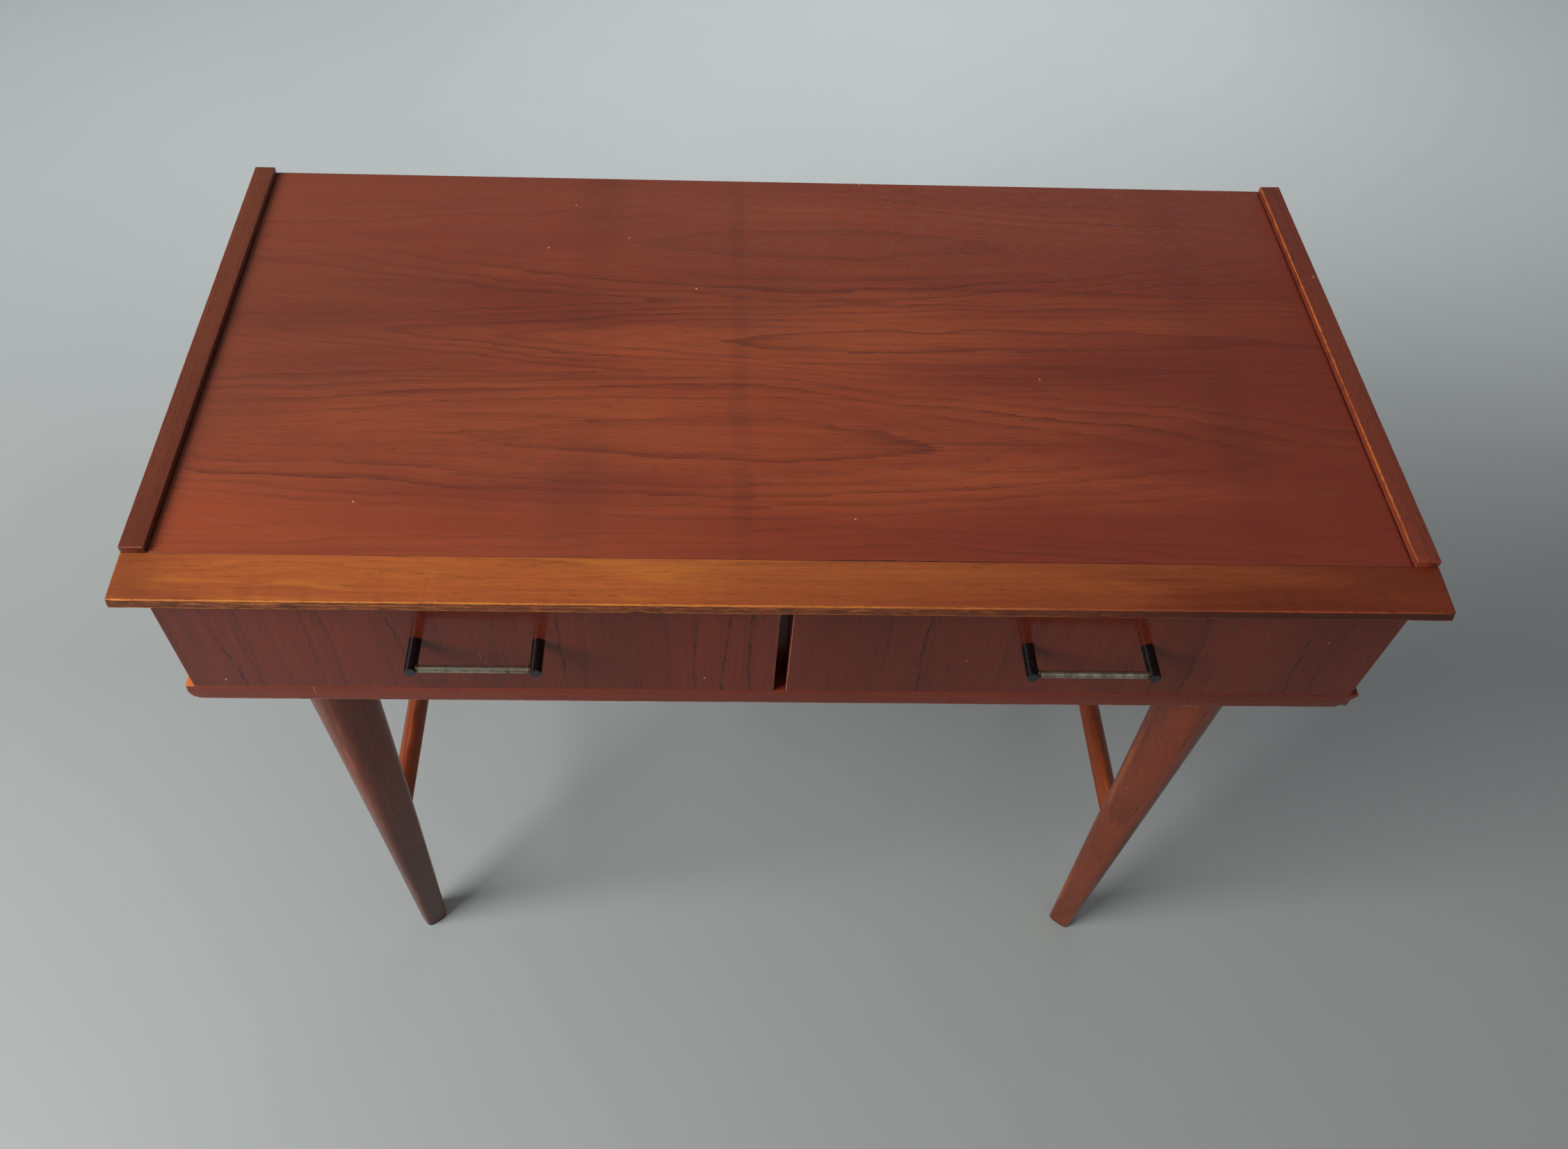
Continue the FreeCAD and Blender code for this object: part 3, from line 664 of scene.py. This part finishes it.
# ------------------------------------------------------------------ finishes
# hearts of the figure on the top, from the back to the front
HEARTS = ((0.04, 0.172, 0.46, 0.40, 0.056), (0.10, 0.045, 0.36, 0.95, 0.042),
          (-0.01, -0.084, 0.70, 0.36, 0.056), (0.06, -0.236, 0.60, 0.42, 0.044))
top_wood = wood("top veneer", X, srgb(172, 84, 50), srgb(139, 60, 42), srgb(76, 34, 28),
                crowned(HEARTS, 3.6, 1.0), seed=1.0, rings=0.50, fine=0.10, fray=0.55,
                marks=top_marks, tint=top_tone_and_shade)
lip_wood = wood("lip wood", X, srgb(190, 102, 50), srgb(160, 80, 42), srgb(92, 44, 26),
                straight(X, 0.010, 2.0), seed=2.0, rings=0.22, fine=0.14, pores=0.35, fibres=0.22,
                streaks=0.2, marks=lip_marks)
strip_wood = wood("strip wood", Y, srgb(146, 68, 46), srgb(126, 56, 40), srgb(72, 32, 25),
                  straight(Y, 0.006, 3.0), seed=3.0, rings=0.25, fine=0.18, marks=strip_marks)
front_wood = wood("drawer front veneer", Z, srgb(118, 46, 28), srgb(100, 38, 24), srgb(50, 20, 14),
                  straight(Z, 0.012, 4.0, 3.2), seed=4.0, rings=0.2, fine=0.1, rough=0.19,
                  streaks=0.12, marks=front_marks, specular=0.28, drift=(2.0, 9.0))
board_wood = wood("bottom board", X, srgb(134, 54, 33), srgb(110, 42, 27), srgb(62, 24, 17),
                  straight(X, 0.007, 5.0), seed=5.0, rings=0.3, marks=board_marks)
case_wood = wood("case veneer", Y, srgb(124, 50, 34), srgb(104, 42, 29), srgb(54, 22, 17),
                 straight(Y, 0.009, 6.0), seed=6.0, rings=0.35)
leg_wood = wood("leg wood", Z, srgb(136, 63, 35), srgb(113, 50, 29), srgb(60, 28, 19),
                straight(Z, 0.008, 7.0, 2.8), seed=7.0, rings=0.28, fine=0.15, rough=0.33,
                marks=leg_marks)
stretcher_wood = wood("stretcher wood", Y, srgb(156, 76, 42), srgb(128, 58, 34), srgb(66, 30, 20),
                      straight(Y, 0.006, 8.0), seed=8.0, rings=0.3, specular=0.25, marks=bar_marks)
dress(top_wood, "top_panel")
dress(front_wood, "drawer_left_front", "drawer_right_front")
dress(case_wood, "case_side_left", "case_side_right", "case_divider")
dress(leg_wood, "leg_front_left", "leg_front_right", "leg_rear_left", "leg_rear_right")
dress(stretcher_wood, "stretcher_left", "stretcher_right")

PALE = dict(light=srgb(222, 192, 148), mid=srgb(204, 170, 124), dark=srgb(158, 120, 80), rings=0.35,
            rough=0.55, specular=0.25, pores=0.3)
pale_x = wood("pale wood crosswise", X, field=straight(X, 0.008, 9.0), seed=9.0, **PALE)
pale_y = wood("pale wood lengthwise", Y, field=straight(Y, 0.008, 10.0), seed=10.0, **PALE)


def ply_marks(t, look):
    """Edge of thin plywood: a darker ply between two light ones."""
    low, high = box_of("drawer_left_bottom")
    ply = (t.xyz[Z] - low.z) / (high.z - low.z) * 3.0
    middle = ply.step(0.98, 1.02) * ply.step(2.02, 1.98)
    look.paint(middle * 0.6, srgb(150, 112, 72))


plywood = wood("plywood", X, field=straight(X, 0.015, 11.0, 8.8), seed=11.0, marks=ply_marks, **PALE)
back = wood("back board", X, srgb(150, 100, 64), srgb(128, 82, 52), srgb(84, 50, 32),
            straight(X, 0.02, 12.0, 8.0), seed=12.0, rings=0.3, rough=0.6, specular=0.2)
for name in NODES:
    if name.endswith("_bottom") and name.startswith("drawer"):
        dress(plywood, name)
    elif name.endswith(("side_outer", "side_inner")) or name.startswith(("runner_left", "runner_right")):
        dress(pale_y, name)
    elif name.startswith(("top_rail", "case_dowels")) or name in ("drawer_left_back", "drawer_right_back"):
        dress(pale_x, name)
dress(back, "case_back_panel")


def plastic(name):
    """Glossy black plastic with a faint haze and fine scuffs."""
    t = Tree(name)
    haze = t.cloud(0.004, 1.0).step(0.35, 0.7)
    scuff = t.spots((400, 1500, 400), 0.12, 0.03, 2.0)
    color = t.mix(haze, srgb(11, 11, 12), srgb(20, 20, 22))
    color = t.mix(scuff * 0.5, color, srgb(90, 90, 92))
    rough = haze.step(0.0, 1.0, 0.13, 0.22) + scuff * 0.2
    return t.finish(color, rough, t.cloud(0.002, 3.0), 0.04, 0.00002)


def metal(name, bright, dull, rust, rust_share, rough, brush=(400.0, 400.0, 400.0)):
    """Dulled metal with rust blotches; brush is the scale of its fine scratches."""
    t = Tree(name)
    tarnish = t.cloud(0.006, 1.0, 4.0, 0.7).step(0.35, 0.65)
    rusty = t.cloud(0.010, 2.0, 5.0, 0.75).step(0.60 - rust_share, 0.70 - rust_share)
    fine = t.noise(t.scaled(brush, 3.0), 2.0, 0.6)
    color = t.mix(rusty * 0.8, t.mix(tarnish, bright, dull), rust)
    dullness = tarnish.step(0.0, 1.0, rough, rough + 0.15) + rusty * 0.25
    return t.finish(color, dullness, fine - rusty * 0.8, 0.25, 0.00005, metal=0.9)


black = plastic("black plastic")
rod = metal("tarnished steel", srgb(184, 178, 162), srgb(134, 126, 108), srgb(92, 66, 44),
            0.04, 0.20, (60.0, 900.0, 900.0))
fixing = metal("fixing steel", srgb(176, 174, 166), srgb(128, 124, 114), srgb(98, 66, 44), 0.02, 0.35)
plate = metal("plate steel", srgb(120, 120, 118), srgb(86, 86, 84), srgb(96, 60, 40), 0.05, 0.42)
brass = metal("collar metal", srgb(132, 104, 70), srgb(88, 70, 52), srgb(72, 48, 32), 0.12, 0.42)
for name in NODES:
    if "handle_post" in name:
        dress(black, name)
    elif "handle_rod" in name:
        dress(rod, name)
    elif name.endswith(("screws", "bolts", "pins")):
        dress(fixing, name)
    elif name.startswith("leg_plate_"):
        dress(plate, name)

# below a face LIP_FACE high the lip is cut back by UNDERCUT; a nick is its x and its reach
UNDERCUT = 0.016
NICKS = ((0.236, 0.009), (-0.113, 0.007))
NICK_PUSH = (0.0, 0.0011, 0.0006)
front_y, back_y, top_z, under_z = LIP_LOW.y, LIP_HIGH.y, LIP_HIGH.z, LIP_LOW.z
face_low = top_z - LIP_FACE
section = rounded([(front_y, top_z, 0.0007), (back_y, top_z, 0.0), (back_y, under_z, 0.0),
                   (front_y + UNDERCUT, under_z, 0.0), (front_y, face_low, 0.0005)], ARRIS)
lip_bites = [((LIP_LOW.x, front_y, top_z), 0.006, (0.0009, 0.0009, -0.0004)),
             ((LIP_HIGH.x, front_y, top_z), 0.010, (-0.0014, 0.0012, -0.0004))]
for at, reach in NICKS:
    lip_bites.append(((at, front_y, face_low), reach, NICK_PUSH))
worn_bar("front_lip", "top_front_lip", lip_wood, X, section, lip_bites)

# how far the top arrises at the left and right of each strip are rubbed down
for name, left_deep, right_deep in (("left", 0.0004, 0.0003), ("right", 0.0008, 0.0004)):
    low, high = box_of("top_edge_strip_" + name)
    section = rounded([(low.x, high.z, left_deep), (high.x, high.z, right_deep),
                       (high.x, low.z, 0.0002), (low.x, low.z, 0.0002)], ARRIS)
    worn_bar("edge_strip_" + name, "top_edge_strip_" + name, strip_wood, Y, section)

board_front = BOARD_LOW.y
section = rounded([(board_front, BOARD_HIGH.z, 0.0003), (BOARD_HIGH.y, BOARD_HIGH.z, 0.0),
                   (BOARD_HIGH.y, BOARD_LOW.z, 0.0003), (board_front, BOARD_LOW.z, 0.0006)], ARRIS)
middle_z = (BOARD_LOW.z + BOARD_HIGH.z) / 2
section.insert(0, (board_front, middle_z, 0.0))
board_bites = (((BOARD_HIGH.x, board_front, BOARD_LOW.z), 0.014, (-0.0045, 0.0015, 0.0015)),
               ((BOARD_HIGH.x, board_front, middle_z), 0.007, (-0.0024, 0.0010, 0.0)),
               ((BOARD_LOW.x, board_front, BOARD_HIGH.z), 0.004, (0.0004, 0.0005, -0.0003)),
               ((BOARD_LOW.x, board_front, BOARD_LOW.z), 0.008, (0.0022, 0.0008, 0.0008)))
worn_bar("bottom_board", "case_bottom_board", board_wood, X, section, board_bites)

# section of a collar: along it in lengths of the collar, and out from its axis in radii of the rod
COLLAR_OUTLINE = ((-0.5, 0.96), (-0.5, 1.06), (-0.3, 1.18), (0.3, 1.18), (0.5, 1.06), (0.5, 0.96))
COLLAR_TURNS = 32
COLLAR_LENGTH, COLLAR_OFF_POST = 0.0012, 0.0004


def collar(name, body, centre, radius, length, material):
    """Turned ring where a handle rod enters its post."""
    bm = bmesh.new()
    rings = []
    for step in range(COLLAR_TURNS):
        angle = 2 * math.pi * step / COLLAR_TURNS
        c, s = math.cos(angle) * radius, math.sin(angle) * radius
        rings.append([bm.verts.new(centre + Vector((along * length, c * out, s * out)))
                      for along, out in COLLAR_OUTLINE])
    for index in range(COLLAR_TURNS):
        one, two = rings[index - 1], rings[index]
        for spot in range(len(COLLAR_OUTLINE)):
            bm.faces.new((one[spot - 1], one[spot], two[spot], two[spot - 1]))
    ring = as_object(bm, name, material, sharp_degrees=40)
    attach(ring, body)


for hand in ("left", "right"):
    prefix = "drawer_" + hand + "_handle_"
    rod_low, rod_high = box_of(prefix + "rod")
    radius = (rod_high.z - rod_low.z) / 2
    middle = (rod_high + rod_low) / 2
    for end, sign in (("left", 1.0), ("right", -1.0)):
        post_low, post_high = box_of(prefix + "post_" + end)
        face = post_high.x if sign > 0 else post_low.x
        centre = Vector((face + sign * COLLAR_OFF_POST, middle.y, middle.z))
        collar(prefix + "collar_" + end, "drawer_" + hand, centre, radius, COLLAR_LENGTH, brass)

# ------------------------------------------------------------------ floor and light
FLOOR_HALF = 12.0
mesh = bpy.data.meshes.new("floor")
corners = [(x * FLOOR_HALF, y * FLOOR_HALF, 0) for x, y in ((-1, -1), (1, -1), (1, 1), (-1, 1))]
mesh.from_pydata(corners, [], [(0, 1, 2, 3)])
floor = bpy.data.objects.new("floor", mesh)
bpy.context.scene.collection.objects.link(floor)
t = Tree("floor")
paint = t.mix(t.cloud(0.5), srgb(172, 178, 178), srgb(165, 172, 172))
mesh.materials.append(t.finish(paint, 0.6, t.cloud(0.01), 0.05))


def area(name, place, aim, size, power, color):
    """A rectangular lamp at place that faces aim."""
    data = bpy.data.lights.new(name, "AREA")
    data.shape = "RECTANGLE"
    data.size, data.size_y = size
    data.energy = power
    data.color = color
    lamp = bpy.data.objects.new(name, data)
    turn = (Vector(aim) - Vector(place)).to_track_quat("-Z", "Y").to_matrix().to_4x4()
    lamp.matrix_world = Matrix.Translation(place) @ turn
    bpy.context.scene.collection.objects.link(lamp)


area("window", (-2.1, -1.1, 2.0), (0.1, 0, 0.6), (1.5, 1.4), 80, (1.0, 0.98, 0.95))
area("room", (1.2, -2.4, 2.6), (0, 0, 0.5), (2.5, 2.0), 4, (1.0, 0.97, 0.94))
area("back floor", (0.0, 1.0, 1.7), (0.0, 1.9, 1.27), (5.0, 0.5), 62, (0.98, 0.98, 1.0))
area("rear fill", (0.6, 3.2, 0.9), (0.0, 0.3, 0.45), (2.4, 1.0), 16, (1.0, 0.98, 0.95))
world = bpy.data.worlds.new("world")
bpy.context.scene.world = world
world.use_nodes = True
background = world.node_tree.nodes["Background"]
background.inputs["Color"].default_value = (0.98, 0.98, 1.0, 1.0)
background.inputs["Strength"].default_value = 0.19
bpy.context.scene.view_settings.view_transform = "Standard"
